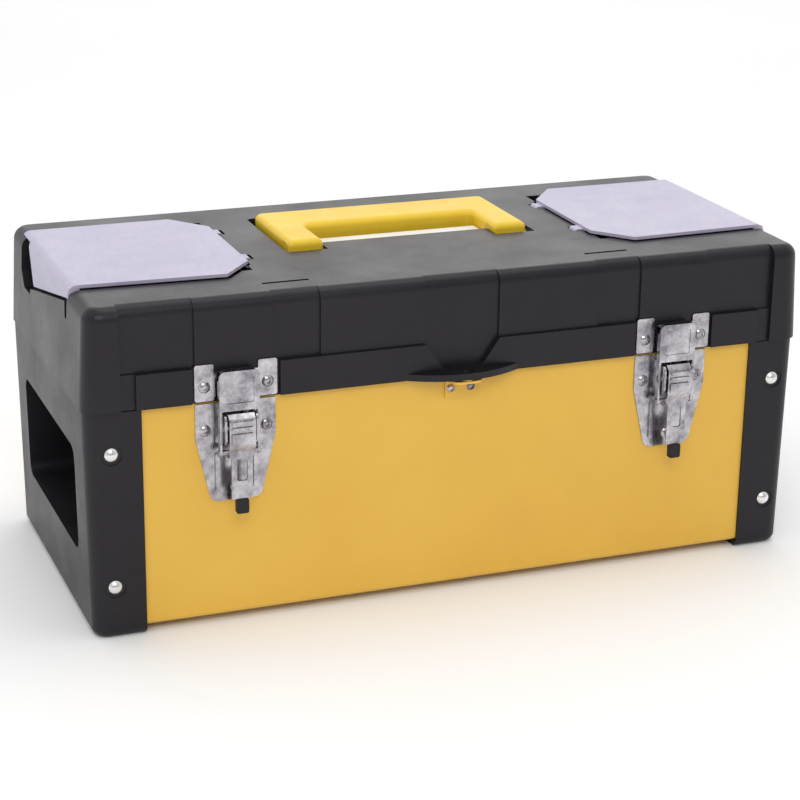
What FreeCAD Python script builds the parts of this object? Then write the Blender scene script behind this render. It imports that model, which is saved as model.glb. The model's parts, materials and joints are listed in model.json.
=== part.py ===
import FreeCAD, Part
import math
import os
import re
import Sketcher

# Toolbox of painted sheet steel and moulded plastic, with a lift-out tray.
# Frame: +Z up, front face towards -Y, origin on the ground under the middle of the box.
# All sizes are millimetres.

DIMENSIONS = {
    # sheet-steel trough that forms the front, bottom and back
    "sheet_y": 88.6,
    "sheet_gauge": 0.8,
    "sheet_half_x": 197.5,
    "sheet_bottom_z": 4.0,
    "sheet_top_z": 124.0,
    "sheet_bend_r": 3.0,
    "hem_depth": 8.0,
    "hem_gauge": 1.6,
    "foot_half_x": 150.0,
    "foot_half_y": 72.0,
    "foot_corner_r": 10.0,
    # moulded end caps with a hand-hold in each end
    "cap_top_x": 204.0,
    "cap_foot_x": 202.4,
    "cap_inner_x": 174.5,
    "cap_y": 90.0,
    "cap_top_z": 124.2,
    "cap_wall": 2.8,
    "cap_corner_r": 8.0,
    "cap_foot_r": 5.0,
    "slip_gap": 0.1,
    "grip_half_y": 61.0,
    "grip_low_z": 39.0,
    "grip_high_z": 97.0,
    "grip_floor_x": 178.0,
    "grip_wall": 2.2,
    "grip_corner_r": 7.0,
    "finger_top_z": 104.0,
    "finger_half_y": 55.0,
    "finger_lip": 8.0,
    "cap_rivet_x": 190.6,
    "cap_rivet_low_z": 28.5,
    "cap_rivet_high_z": 101.5,
    "rivet_seat_r": 5.6,
    "rivet_seat_depth": 0.5,
    # rivets
    "cap_shank_r": 2.1,
    "cap_head_r": 3.9,
    "cap_head_rise": 2.0,
    "small_shank_r": 1.6,
    "small_head_r": 3.2,
    "small_head_rise": 1.5,
    "small_hollow_r": 1.2,
    "cap_hollow_r": 0.0,
    "tail_r": 2.8,
    "tail_rise": 1.0,
    # lid shell
    "lid_low_z": 124.8,
    "lid_top_z": 178.9,
    "lid_half_x": 205.0,
    "lid_top_half_x": 202.2,
    "lid_back_y": 90.2,
    "band_y": 92.2,
    "panel_y": 90.2,
    "relief_y": 89.0,
    "band_top_z": 143.5,
    "lid_corner_r": 9.5,
    "shoulder_r": 7.0,
    "panel_shoulder_r": 6.4,
    "block_x": 185.5,
    "latch_relief_outer_x": 148.5,
    "latch_relief_inner_x": 101.5,
    "channel_outer_x": 104.5,
    "channel_inner_x": 79.0,
    "middle_relief_x": 21.0,
    "middle_notch_x": 11.0,
    "middle_notch_z": 129.5,
    "lid_wall_y": 86.4,
    "lid_back_wall_y": 87.4,
    "lid_wall_x": 199.8,
    "bin_ceiling_z": 146.6,
    "well_ceiling_z": 164.1,
    "top_ceiling_z": 175.6,
    "thumb_slot_y": 72.0,
    "thumb_slot_width": 2.4,
    "thumb_slot_depth": 1.0,
    # ledge that lifts the lid and takes the padlock
    "ledge_half_x": 36.0,
    "ledge_reach": 12.5,
    "ledge_top_z": 128.4,
    "padlock_r": 3.75,
    "padlock_y": 96.6,
    "eye_half_x": 9.0,
    "eye_gauge": 1.2,
    "eye_low_z": 112.0,
    "eye_top_z": 123.9,
    "eye_reach": 13.0,
    "eye_rivet_x": 5.8,
    "eye_rivet_z": 117.2,
    "eye_head_r": 2.4,
    # organizer bins in the lid
    "bin_inner_x": 103.0,
    "bin_outer_x": 191.4,
    "bin_front_y": -43.0,
    "bin_back_y": 56.0,
    "bin_floor_z": 150.5,
    "divider": 1.6,
    "divider_top_z": 174.0,
    "shaft_wall": 2.0,
    "lip_width": 4.0,
    "bin_middle_x": 148.0,
    "bin_middle_y": 7.0,
    "recess_margin": 2.2,
    "recess_depth": 1.5,
    "notch_x": 198.7,
    "notch_gap": 1.2,
    "notch_slot_low_z": 152.0,
    "notch_slot_back_y": 60.0,
    "notch_slot_x": 195.0,
    "corner_notch_x": 193.9,
    # organizer covers
    "cover_low_z": 179.2,
    "cover_gauge": 1.8,
    "cover_inner_x": 100.5,
    "cover_outer_x": 201.6,
    "cover_front_y": -51.0,
    "cover_front_inner_y": -54.5,
    "cover_back_y": 63.0,
    "cover_chamfer_x": 118.0,
    "cover_chamfer_front_y": -33.5,
    "cover_chamfer_back_y": 41.0,
    "flange_gauge": 1.6,
    "flange_back_y": 45.0,
    "flange_low_y": 36.0,
    "flange_low_z": 156.5,
    "flange_front_z": 174.5,
    "return_inner_x": 195.2,
    "return_low_z": 165.0,
    "cover_edge_r": 5.0,
    "cover_pin_r": 1.2,
    "cover_pin_x": 97.5,
    "cover_pin_z": 177.3,
    "cover_lug_r": 2.3,
    "cover_lug_half_y": 4.0,
    "cover_lug_front_y": -20.0,
    "cover_lug_back_y": 34.0,
    "lug_slot_gap": 0.6,
    "hinge_ceiling_z": 172.0,
    # carrying handle and its well
    "well_half_x": 73.5,
    "well_front_y": -17.5,
    "well_middle_front_y": -4.0,
    "well_back_y": 57.5,
    "well_floor_z": 166.5,
    "well_shelf_z": 174.4,
    "well_shelf_back_y": 16.0,
    "well_leg_x": 49.9,
    "handle_half_x": 70.5,
    "handle_leg_x": 50.5,
    "handle_front_y": -12.0,
    "grip_front_y": 22.0,
    "handle_back_y": 54.0,
    "handle_low_z": 170.0,
    "handle_top_z": 183.2,
    "handle_edge_r": 3.4,
    "handle_pivot_y": -4.5,
    "handle_pivot_z": 174.6,
    "handle_heel_r": 7.1,
    "handle_pin_r": 2.0,
    "handle_pin_inner_x": 58.0,
    "handle_pin_outer_x": 77.5,
    "strip_half_x": 49.4,
    "strip_front_y": 0.5,
    "strip_back_y": 14.5,
    "strip_gauge": 1.5,
    # draw latches: offsets are measured outward from the steel front
    "latch_x": 125.0,
    "latch_gauge": 1.0,
    "base_half_x": 21.5,
    "base_foot_half_x": 13.5,
    "base_low_z": 69.5,
    "base_waist_z": 104.0,
    "base_top_z": 123.4,
    "base_corner_r": 3.0,
    "base_rivet_x": 16.5,
    "base_rivet_z": 109.0,
    "base_foot_rivet_z": 76.5,
    "cheek_inner_x": 7.8,
    "cheek_gauge": 1.1,
    "cheek_reach": 12.3,
    "cheek_low_z": 103.0,
    "cheek_top_z": 120.0,
    "rib_inner_x": 11.2,
    "rib_outer_x": 13.4,
    "lever_pivot_out": 9.5,
    "lever_pivot_z": 112.0,
    "link_pivot_out": 7.0,
    "link_pivot_z": 98.0,
    "pin_r": 1.5,
    "running_gap": 0.06,
    "lever_half_x": 7.0,
    "tongue_half_x": 5.6,
    "tang_half_x": 2.4,
    "finger_grip_half_x": 3.4,
    "finger_grip_length": 7.2,
    "finger_grip_wall": 1.0,
    "lever_gauge": 1.2,
    "lever_face_out": 13.6,
    "tongue_face_out": 11.8,
    "lever_tip_z": 66.5,
    "ear_inner_x": 5.6,
    "link_half_x": 10.7,
    "link_gauge": 1.1,
    "link_face_out": 8.8,
    "hook_low_z": 120.8,
    "hook_top_z": 142.1,
    "hook_tip_out": 2.9,
    "link_arm_r": 1.8,
    "keeper_half_x": 22.0,
    "keeper_ear_x": 11.8,
    "keeper_low_z": 125.4,
    "keeper_top_z": 145.0,
    "keeper_bridge_low_z": 127.5,
    "keeper_ledge_top_z": 140.7,
    "keeper_ledge_half_x": 8.5,
    "keeper_ledge_out": 7.0,
    "keeper_rivet_x": 16.9,
    "keeper_rivet_z": 133.0,
    # butt hinges on the back
    "hinge_x": 112.0,
    "hinge_y": 93.5,
    "hinge_z": 124.5,
    "hinge_half_x": 20.0,
    "hinge_gauge": 1.0,
    "knuckle_r": 2.6,
    "hinge_pin_r": 1.5,
    "lid_knuckle_x": 6.6,
    "body_knuckle_x": 7.0,
    "hinge_low_z": 102.0,
    "hinge_top_z": 144.0,
    "hinge_rivet_x": 13.0,
    "hinge_body_rivet_z": 108.5,
    "hinge_lid_rivet_z": 137.5,
    # lift-out tray
    "tray_half_x": 193.0,
    "tray_tub_half_x": 171.0,
    "tray_half_y": 84.0,
    "tray_corner_r": 6.0,
    "tray_low_z": 80.0,
    "tray_shoulder_z": 106.6,
    "tray_top_z": 118.0,
    "tray_wall": 2.0,
    "tray_cross_x": 57.0,
    "tray_grip_half_x": 55.0,
    "tray_grip_half_y": 7.0,
    "tray_grip_low_z": 125.0,
    "tray_grip_top_z": 133.6,
    "tray_leg_inner_x": 46.4,
    "tray_leg_outer_x": 52.6,
    "tray_leg_half_y": 3.2,
    "tray_leg_rivet_x": 49.5,
    "tray_leg_rivet_z": 111.0,
    "tray_slot_half_x": 45.0,
    "tray_slot_low_z": 104.0,
}

WORD = re.compile(r"[a-z][a-z0-9_]*")
CLEAR = 40.0  # how far a cutting shape runs past the material it trims

doc = FreeCAD.newDocument("Toolbox")
sheet = doc.addObject("Spreadsheet::Sheet", "Sizes")
for row, (alias, size) in enumerate(DIMENSIONS.items(), 1):
    sheet.set(f"A{row}", alias)
    sheet.set(f"B{row}", str(size))
    sheet.setAlias(f"B{row}", alias)
doc.recompute()

nodes = []


# ---------------------------------------------------------------- sizes and sketches

def bound(text):
    """The text as an expression, with every size name pointing at its cell."""
    return WORD.sub(lambda m: f"Sizes.{m.group(0)}" if m.group(0) in DIMENSIONS else m.group(0), str(text))


def value(text):
    return float(sheet.evalExpression(bound(text)))


def new_body(label):
    body = doc.addObject("PartDesign::Body", label)
    body.Label = label
    nodes.append(body)
    return body


def origin_plane(body, role):
    return [plane for plane in body.Origin.OriginFeatures if plane.Role == role][0]


def new_sketch(body, role, offset):
    """A sketch on one of the body's own origin planes, moved along its normal."""
    drawing = body.newObject("Sketcher::SketchObject", "Sketch")
    drawing.AttachmentSupport = [(origin_plane(body, role), "")]
    drawing.MapMode = "FlatFace"
    drawing.setExpression("AttachmentOffset.Base.z", bound(offset))
    return drawing


def pin_down(drawing, geometry, point, x_text, y_text):
    """Fix a point of the sketch by two sizes from the origin."""
    for kind, text, axis in (("DistanceX", x_text, -2), ("DistanceY", y_text, -1)):
        size = value(text)
        if abs(size) < 1e-9:
            drawing.addConstraint(Sketcher.Constraint("PointOnObject", geometry, point, axis))
            continue
        index = drawing.addConstraint(Sketcher.Constraint(kind, -1, 1, geometry, point, size))
        drawing.setExpression(f"Constraints[{index}]", bound(text))


def draw_outline(drawing, points):
    """A closed outline; a point with a third value is rounded to that radius."""
    count = len(points)
    corners = [FreeCAD.Vector(value(point[0]), value(point[1]), 0) for point in points]
    radii = [value(point[2]) if len(point) > 2 else 0.0 for point in points]
    to_last = [(corners[i - 1] - corners[i]).normalize() for i in range(count)]
    to_next = [(corners[(i + 1) % count] - corners[i]).normalize() for i in range(count)]
    half = [to_last[i].getAngle(to_next[i]) / 2 for i in range(count)]
    arrive = [corners[i] + to_last[i] * (radii[i] / math.tan(half[i])) for i in range(count)]
    leave = [corners[i] + to_next[i] * (radii[i] / math.tan(half[i])) for i in range(count)]
    lines = [drawing.addGeometry(Part.LineSegment(leave[i], arrive[(i + 1) % count])) for i in range(count)]
    for i, point in enumerate(points):
        before, after = lines[i - 1], lines[i]
        if not radii[i]:
            drawing.addConstraint(Sketcher.Constraint("Coincident", before, 2, after, 1))
            pin_down(drawing, after, 1, point[0], point[1])
            continue
        middle = (to_last[i] + to_next[i]).normalize()
        centre = corners[i] + middle * (radii[i] / math.sin(half[i]))
        angle_in = math.atan2(arrive[i].y - centre.y, arrive[i].x - centre.x)
        angle_out = math.atan2(leave[i].y - centre.y, leave[i].x - centre.x)
        turns_left = (-to_last[i]).cross(to_next[i]).z > 0
        start, end = (angle_in, angle_out) if turns_left else (angle_out, angle_in)
        if end < start:
            end += 2 * math.pi
        circle = Part.Circle(centre, FreeCAD.Vector(0, 0, 1), radii[i])
        arc = drawing.addGeometry(Part.ArcOfCircle(circle, start, end))
        first, last = (1, 2) if turns_left else (2, 1)
        drawing.addConstraint(Sketcher.Constraint("Tangent", before, 2, arc, first))
        drawing.addConstraint(Sketcher.Constraint("Tangent", arc, last, after, 1))
        index = drawing.addConstraint(Sketcher.Constraint("Radius", arc, radii[i]))
        drawing.setExpression(f"Constraints[{index}]", bound(point[2]))
        corner = drawing.addGeometry(Part.Point(corners[i]), True)
        drawing.addConstraint(Sketcher.Constraint("PointOnObject", corner, 1, before))
        drawing.addConstraint(Sketcher.Constraint("PointOnObject", corner, 1, after))
        pin_down(drawing, corner, 1, point[0], point[1])


def draw_circles(drawing, centres, radius):
    for x_text, y_text in centres:
        centre = FreeCAD.Vector(value(x_text), value(y_text), 0)
        circle = drawing.addGeometry(Part.Circle(centre, FreeCAD.Vector(0, 0, 1), value(radius)))
        index = drawing.addConstraint(Sketcher.Constraint("Radius", circle, value(radius)))
        drawing.setExpression(f"Constraints[{index}]", bound(radius))
        pin_down(drawing, circle, 3, x_text, y_text)


def rectangle(x_low, y_low, x_high, y_high, radius=None):
    corners = [(x_low, y_low), (x_high, y_low), (x_high, y_high), (x_low, y_high)]
    return [corner + (radius,) for corner in corners] if radius else corners


def feature(body, drawing, low, high, cut):
    """Pad or pocket between two offsets along the sketch plane's normal."""
    doc.recompute()
    before = body.Tip.Shape.Volume if body.Tip else 0.0
    kind = "PartDesign::Pocket" if cut else "PartDesign::Pad"
    made = body.newObject(kind, "Pocket" if cut else "Pad")
    made.Profile = drawing
    made.setExpression("Length", bound(f"({high}) - ({low})"))
    made.Reversed = cut
    doc.recompute()
    change = made.Shape.Volume - before
    if (change >= -1e-3) if cut else (change <= 1e-3):
        raise RuntimeError(f"{body.Label}: {made.Name} changed the volume by {change}")
    return made


def prism(body, role, outlines, low, high, cut=False):
    """Material (or, with cut, empty space) of the outlines between two offsets."""
    drawing = new_sketch(body, role, low)
    for points in outlines if isinstance(outlines[0], list) else [outlines]:
        draw_outline(drawing, points)
    return feature(body, drawing, low, high, cut)


def discs(body, role, centres, radius, low, high, cut=False):
    drawing = new_sketch(body, role, low)
    draw_circles(drawing, centres, radius)
    return feature(body, drawing, low, high, cut)


def fillet(body, radius, chooses):
    """Round the edges of the body's last feature that the test chooses."""
    doc.recompute()
    base = body.Tip
    names = [f"Edge{i}" for i, edge in enumerate(base.Shape.Edges, 1) if chooses(edge)]
    if not names:
        raise RuntimeError(f"{body.Label}: no edge to round")
    made = body.newObject("PartDesign::Fillet", "Fillet")
    made.Base = (base, names)
    made.setExpression("Radius", bound(radius))
    doc.recompute()
    return made


def middle_of(edge):
    return edge.valueAt((edge.FirstParameter + edge.LastParameter) / 2)


def along(edge, axis):
    """True for a straight edge that runs mostly along the axis."""
    if edge.Curve.TypeId != "Part::GeomLine":
        return False
    run = edge.Vertexes[-1].Point - edge.Vertexes[0].Point
    return abs(run.dot(axis)) > 0.99 * run.Length


def slide_along_x(body, offset):
    body.setExpression("Placement.Base.x", bound(offset))


# ---------------------------------------------------------------- round parts

X_AXIS = FreeCAD.Vector(1, 0, 0)
Y_AXIS = FreeCAD.Vector(0, 1, 0)
Z_AXIS = FreeCAD.Vector(0, 0, 1)


def rod(label, radius, length, x_text, y_text, z_text, direction=X_AXIS):
    """A plain round pin that starts at the given point."""
    pin = doc.addObject("Part::Cylinder", label)
    pin.Label = label
    pin.setExpression("Radius", bound(radius))
    pin.setExpression("Height", bound(length))
    pin.Placement.Rotation = FreeCAD.Rotation(Z_AXIS, direction)
    for axis, text in (("x", x_text), ("y", y_text), ("z", z_text)):
        pin.setExpression(f"Placement.Base.{axis}", bound(text))
    nodes.append(pin)
    return pin


def rivet_shape(grip, shank, head, rise, hollow):
    """One rivet along Z: its domed head sits on z = 0 and its tail closes below the grip."""
    tail, tail_rise = value("tail_r"), value("tail_rise")
    dome_r = (head * head + rise * rise) / (2 * rise)
    rim_angle = math.asin(head / dome_r)
    eye_angle = math.asin(hollow / dome_r)
    half_angle = (rim_angle + eye_angle) / 2
    halfway = FreeCAD.Vector(dome_r * math.sin(half_angle), 0, rise - dome_r * (1 - math.cos(half_angle)))
    path = [
        FreeCAD.Vector(0, 0, -grip - tail_rise),
        FreeCAD.Vector(tail, 0, -grip - tail_rise),
        FreeCAD.Vector(tail, 0, -grip),
        FreeCAD.Vector(shank, 0, -grip),
        FreeCAD.Vector(shank, 0, 0),
        FreeCAD.Vector(head, 0, 0),
    ]
    top = FreeCAD.Vector(hollow, 0, rise - dome_r * (1 - math.cos(eye_angle)))
    edges = [Part.makeLine(path[i], path[i + 1]) for i in range(len(path) - 1)]
    edges.append(Part.Arc(path[-1], halfway, top).toShape())
    closing = [top, path[0]]
    if hollow:
        closing = [top, FreeCAD.Vector(hollow, 0, rise / 4), FreeCAD.Vector(0, 0, rise / 4), path[0]]
    edges += [Part.makeLine(closing[i], closing[i + 1]) for i in range(len(closing) - 1)]
    return Part.Face(Part.Wire(edges)).revolve(FreeCAD.Vector(0, 0, 0), Z_AXIS, 360)


def rivets(label, seats, direction, grip, kind="small", slide="0", head=None):
    """A group of rivets whose heads sit at the given points and face the direction."""
    shank, rise = value(f"{kind}_shank_r"), value(f"{kind}_head_rise")
    hollow = value(f"{kind}_hollow_r")
    shape = rivet_shape(value(grip), shank, value(head or f"{kind}_head_r"), rise, hollow)
    turn = FreeCAD.Rotation(Z_AXIS, direction)
    solids = []
    for seat in seats:
        where = FreeCAD.Vector(*[value(text) for text in seat])
        one = shape.copy()
        one.Placement = FreeCAD.Placement(where, turn)
        solids.append(one)
    group = doc.addObject("Part::Feature", label)
    group.Label = label
    group.Shape = Part.Compound(solids)
    group.Placement = FreeCAD.Placement(FreeCAD.Vector(value(slide), 0, 0), FreeCAD.Rotation())
    nodes.append(group)
    return group


# ---------------------------------------------------------------- body of the box

SIDES = (("left", -1), ("right", 1))


def make_body_panel():
    """Front, bottom and back in one bent sheet with hemmed top edges."""
    body = new_body("body_panel")
    inner_y, hem_y = "(sheet_y - sheet_gauge)", "(sheet_y - hem_gauge)"
    inner_r = "sheet_bend_r - sheet_gauge"
    floor_z, hem_z = "sheet_bottom_z + sheet_gauge", "sheet_top_z - hem_depth"
    profile = [
        ("-sheet_y", "sheet_top_z"),
        ("-sheet_y", "sheet_bottom_z", "sheet_bend_r"),
        ("sheet_y", "sheet_bottom_z", "sheet_bend_r"),
        ("sheet_y", "sheet_top_z"),
        (hem_y, "sheet_top_z"),
        (hem_y, hem_z),
        (inner_y, hem_z),
        (inner_y, floor_z, inner_r),
        (f"-{inner_y}", floor_z, inner_r),
        (f"-{inner_y}", hem_z),
        (f"-{hem_y}", hem_z),
        (f"-{hem_y}", "sheet_top_z"),
    ]
    prism(body, "YZ_Plane", profile, "-sheet_half_x", "sheet_half_x")
    # the middle of the bottom is pressed down to the ground
    foot = rectangle("-foot_half_x", "-foot_half_y", "foot_half_x", "foot_half_y", "foot_corner_r")
    prism(body, "XY_Plane", foot, "0", floor_z)
    inset = ("-(foot_half_x - sheet_gauge)", "-(foot_half_y - sheet_gauge)",
             "foot_half_x - sheet_gauge", "foot_half_y - sheet_gauge")
    pressing = rectangle(*inset, "foot_corner_r - sheet_gauge")
    prism(body, "XY_Plane", pressing, "sheet_gauge", floor_z, cut=True)
    corner_holes = [(f"{side}*cap_rivet_x", z)
                    for _, side in SIDES for z in ("cap_rivet_low_z", "cap_rivet_high_z")]
    discs(body, "XZ_Plane", corner_holes, "cap_shank_r", "-sheet_y", "sheet_y", cut=True)
    front_holes = [("eye_rivet_x", "eye_rivet_z"), ("-eye_rivet_x", "eye_rivet_z")]
    back_holes = []
    for _, side in SIDES:
        front_holes.append((f"{side}*latch_x", "base_foot_rivet_z"))
        for step in (-1, 1):
            front_holes.append((f"{side}*latch_x + {step}*base_rivet_x", "base_rivet_z"))
            back_holes.append((f"{side}*hinge_x + {step}*hinge_rivet_x", "hinge_body_rivet_z"))
    discs(body, "XZ_Plane", front_holes, "small_shank_r", hem_y, "sheet_y", cut=True)
    discs(body, "XZ_Plane", back_holes, "small_shank_r", "-sheet_y", f"-{hem_y}", cut=True)


def make_end_cap(name, side):
    """Moulded end with corner columns over the steel and a deep hand-hold."""
    body = new_body(f"end_cap_{name}")
    outline = [
        (f"{side}*cap_inner_x", "0"),
        (f"{side}*cap_foot_x", "0"),
        (f"{side}*cap_top_x", "cap_top_z"),
        (f"{side}*cap_inner_x", "cap_top_z"),
    ]
    prism(body, "XZ_Plane", outline, "-cap_y", "cap_y")
    reach = value("cap_foot_x") - 1
    fillet(body, "cap_corner_r", lambda edge: along(edge, Z_AXIS) and abs(middle_of(edge).x) > reach)
    fillet(body, "cap_foot_r", lambda edge: edge.BoundBox.ZMax < 1e-6
           and edge.BoundBox.Center.x * side > value("cap_inner_x") + 1)
    wall_x = "(cap_foot_x - cap_wall)"
    slot_y = "(sheet_y + slip_gap)"
    slot_x = "(sheet_half_x + slip_gap*3)"
    inner_y = "(cap_y - cap_wall)"
    floor_z = "(sheet_bottom_z - slip_gap)"
    seat = rectangle(f"{side}*(cap_inner_x - {CLEAR})", f"-{slot_y}", f"{side}*{slot_x}", slot_y)
    prism(body, "XY_Plane", seat, floor_z, "cap_top_z", cut=True)
    inside = rectangle(f"{side}*(cap_inner_x - {CLEAR})", f"-{inner_y}", f"{side}*{wall_x}", inner_y)
    prism(body, "XY_Plane", inside, floor_z, "cap_top_z", cut=True)
    # the hand-hold is a box moulded into the end, open to the outside
    housing_y, housing_low = "(grip_half_y + grip_wall)", "grip_low_z - grip_wall"
    housing = rectangle(f"{side}*(grip_floor_x - grip_wall)", housing_low,
                        f"{side}*({wall_x} + 1)", "finger_top_z + grip_wall")
    prism(body, "XZ_Plane", housing, f"-{housing_y}", housing_y)
    opening = rectangle("-grip_half_y", "grip_low_z", "grip_half_y", "grip_high_z", "grip_corner_r")
    pocket_low, pocket_high = ("grip_floor_x", f"cap_top_x + {CLEAR}")[::side]
    fingers = rectangle("-finger_half_y", "grip_high_z - grip_corner_r", "finger_half_y", "finger_top_z")
    finger_low, finger_high = ("grip_floor_x", f"{wall_x} - finger_lip + cap_wall")[::side]
    sign = "" if side > 0 else "-"
    prism(body, "YZ_Plane", opening, f"{sign}({pocket_low})", f"{sign}({pocket_high})", cut=True)
    prism(body, "YZ_Plane", fingers, f"{sign}({finger_low})", f"{sign}({finger_high})", cut=True)
    holes = [(f"{side}*cap_rivet_x", z) for z in ("cap_rivet_low_z", "cap_rivet_high_z")]
    discs(body, "XZ_Plane", holes, "cap_shank_r", "-cap_y", "cap_y", cut=True)
    discs(body, "XZ_Plane", holes, "rivet_seat_r", "cap_y - rivet_seat_depth", "cap_y", cut=True)
    discs(body, "XZ_Plane", holes, "rivet_seat_r", "-cap_y", "-cap_y + rivet_seat_depth", cut=True)


def make_cap_rivets(name, side):
    grip = "cap_y - rivet_seat_depth - sheet_y + sheet_gauge"
    seats = [(f"{side}*cap_rivet_x", "-(cap_y - rivet_seat_depth)", z)
             for z in ("cap_rivet_low_z", "cap_rivet_high_z")]
    rivets(f"cap_rivets_front_{name}", seats, -Y_AXIS, grip, "cap")
    seats = [(x, "cap_y - rivet_seat_depth", z) for x, _, z in seats]
    rivets(f"cap_rivets_back_{name}", seats, Y_AXIS, grip, "cap")


def make_padlock_eye():
    """Steel bracket under the lid's ledge, with the padlock hole in its tongue."""
    body = new_body("padlock_eye")
    upright = rectangle("-eye_half_x", "eye_low_z", "eye_half_x", "eye_top_z")
    prism(body, "XZ_Plane", upright, "sheet_y", "sheet_y + eye_gauge")
    tongue = [
        ("-eye_half_x", "-sheet_y"),
        ("-eye_half_x", "-(sheet_y + eye_reach)", "eye_half_x*0.6"),
        ("eye_half_x", "-(sheet_y + eye_reach)", "eye_half_x*0.6"),
        ("eye_half_x", "-sheet_y"),
    ]
    prism(body, "XY_Plane", tongue, "eye_top_z - eye_gauge", "eye_top_z")
    padlock = [("0", "-padlock_y")]
    discs(body, "XY_Plane", padlock, "padlock_r", "eye_top_z - eye_gauge", "eye_top_z", cut=True)
    holes = [("eye_rivet_x", "eye_rivet_z"), ("-eye_rivet_x", "eye_rivet_z")]
    discs(body, "XZ_Plane", holes, "small_shank_r", "sheet_y", "sheet_y + eye_gauge", cut=True)
    seats = [(x, "-(sheet_y + eye_gauge)", z) for x, z in holes]
    rivets("padlock_eye_rivets", seats, -Y_AXIS, "eye_gauge + hem_gauge", head="eye_head_r")


# ---------------------------------------------------------------- lid

def mirrored(x_low, x_high):
    """The same stretch of X on the left and on the right."""
    return [(f"-({x_high})", f"-({x_low})"), (x_low, x_high)]


def trim_front(body, face_y, low_z, stretches, radius="panel_shoulder_r"):
    """Set the lid's front back to a plane, with its own rounded shoulder."""
    profile = [
        (f"-(band_y + {CLEAR})", low_z),
        (f"-{face_y}", low_z),
        (f"-{face_y}", "lid_top_z", radius),
        (f"-({face_y} - {radius} - 2)", "lid_top_z"),
        (f"-({face_y} - {radius} - 2)", f"lid_top_z + {CLEAR}"),
        (f"-(band_y + {CLEAR})", f"lid_top_z + {CLEAR}"),
    ]
    for x_low, x_high in stretches:
        prism(body, "YZ_Plane", profile, x_low, x_high, cut=True)


def shape_lid_front(body):
    """Corner blocks and lower band stand proud; panels and relief channels step back."""
    trim_front(body, "panel_y", "band_top_z", [("-block_x", "block_x")])
    trim_front(body, "relief_y", "band_top_z", mirrored("latch_relief_outer_x - 2", "block_x"))
    trim_front(body, "relief_y", "band_top_z", mirrored("channel_inner_x", "channel_outer_x"))
    trim_front(body, "relief_y", "band_top_z", [("-middle_relief_x", "middle_relief_x")])
    for x_low, x_high in mirrored("latch_relief_inner_x", "latch_relief_outer_x"):
        latch_relief = rectangle(x_low, f"lid_low_z - {CLEAR}", x_high, "band_top_z")
        prism(body, "XZ_Plane", latch_relief, "panel_y", f"band_y + {CLEAR}", cut=True)
    for x_low, x_high in mirrored("block_x - 8", "block_x"):
        groove = rectangle(x_low, f"lid_low_z - {CLEAR}", x_high, "band_top_z")
        prism(body, "XZ_Plane", groove, "panel_y", f"band_y + {CLEAR}", cut=True)
    notch = [
        ("-middle_relief_x", "band_top_z"),
        ("-middle_notch_x", "middle_notch_z", "3"),
        ("middle_notch_x", "middle_notch_z", "3"),
        ("middle_relief_x", "band_top_z"),
    ]
    prism(body, "XZ_Plane", notch, "relief_y", f"band_y + {CLEAR}", cut=True)


def hollow_lid(body):
    """Open the underside around the organizer shafts and the handle's well."""
    low = f"lid_low_z - {CLEAR}"
    full = rectangle("-lid_wall_x", "-lid_wall_y", "lid_wall_x", "lid_back_wall_y", "5")
    prism(body, "XY_Plane", full, low, "bin_ceiling_z", cut=True)
    between_bins = "(bin_inner_x - divider - slip_gap - shaft_wall)"
    middle = rectangle(f"-{between_bins}", "-lid_wall_y + 1", between_bins, "lid_back_wall_y - 1", "3")
    prism(body, "XY_Plane", middle, low, "well_ceiling_z", cut=True)
    beside_x = "corner_notch_x - shaft_wall"
    front_y = "bin_front_y - divider - slip_gap - shaft_wall"
    back_y = "bin_back_y + divider + slip_gap + shaft_wall"
    strips = [
        rectangle(f"-({beside_x})", "-lid_wall_y + 2", beside_x, front_y),
        rectangle(f"-({beside_x})", back_y, beside_x, "lid_back_wall_y - 3"),
    ]
    prism(body, "XY_Plane", strips, low, "top_ceiling_z", cut=True)
    wing_x = "well_half_x + divider*4"
    beside_pins = "cover_pin_x - cover_lug_r*2.4"
    for reach_x, ceiling in ((beside_pins, "top_ceiling_z"), (between_bins, "hinge_ceiling_z")):
        wings = [rectangle(x_low, f"{front_y} - 1", x_high, f"{back_y} + 1")
                 for x_low, x_high in mirrored(wing_x, reach_x)]
        prism(body, "XY_Plane", wings, low, ceiling, cut=True)
    front_of_well = rectangle(f"-({wing_x} + 1)", f"{front_y} - 1",
                              f"{wing_x} + 1", "well_front_y - divider*2")
    prism(body, "XY_Plane", front_of_well, low, "top_ceiling_z", cut=True)


def bin_insert(grow):
    """Plan of both organizer inserts, grown by the given margin."""
    margin = f"(divider + {grow})"
    return [rectangle(x_low, f"bin_front_y - {margin}", x_high, f"bin_back_y + {margin}")
            for x_low, x_high in mirrored(f"bin_inner_x - {margin}", f"bin_outer_x + {margin}")]


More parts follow.
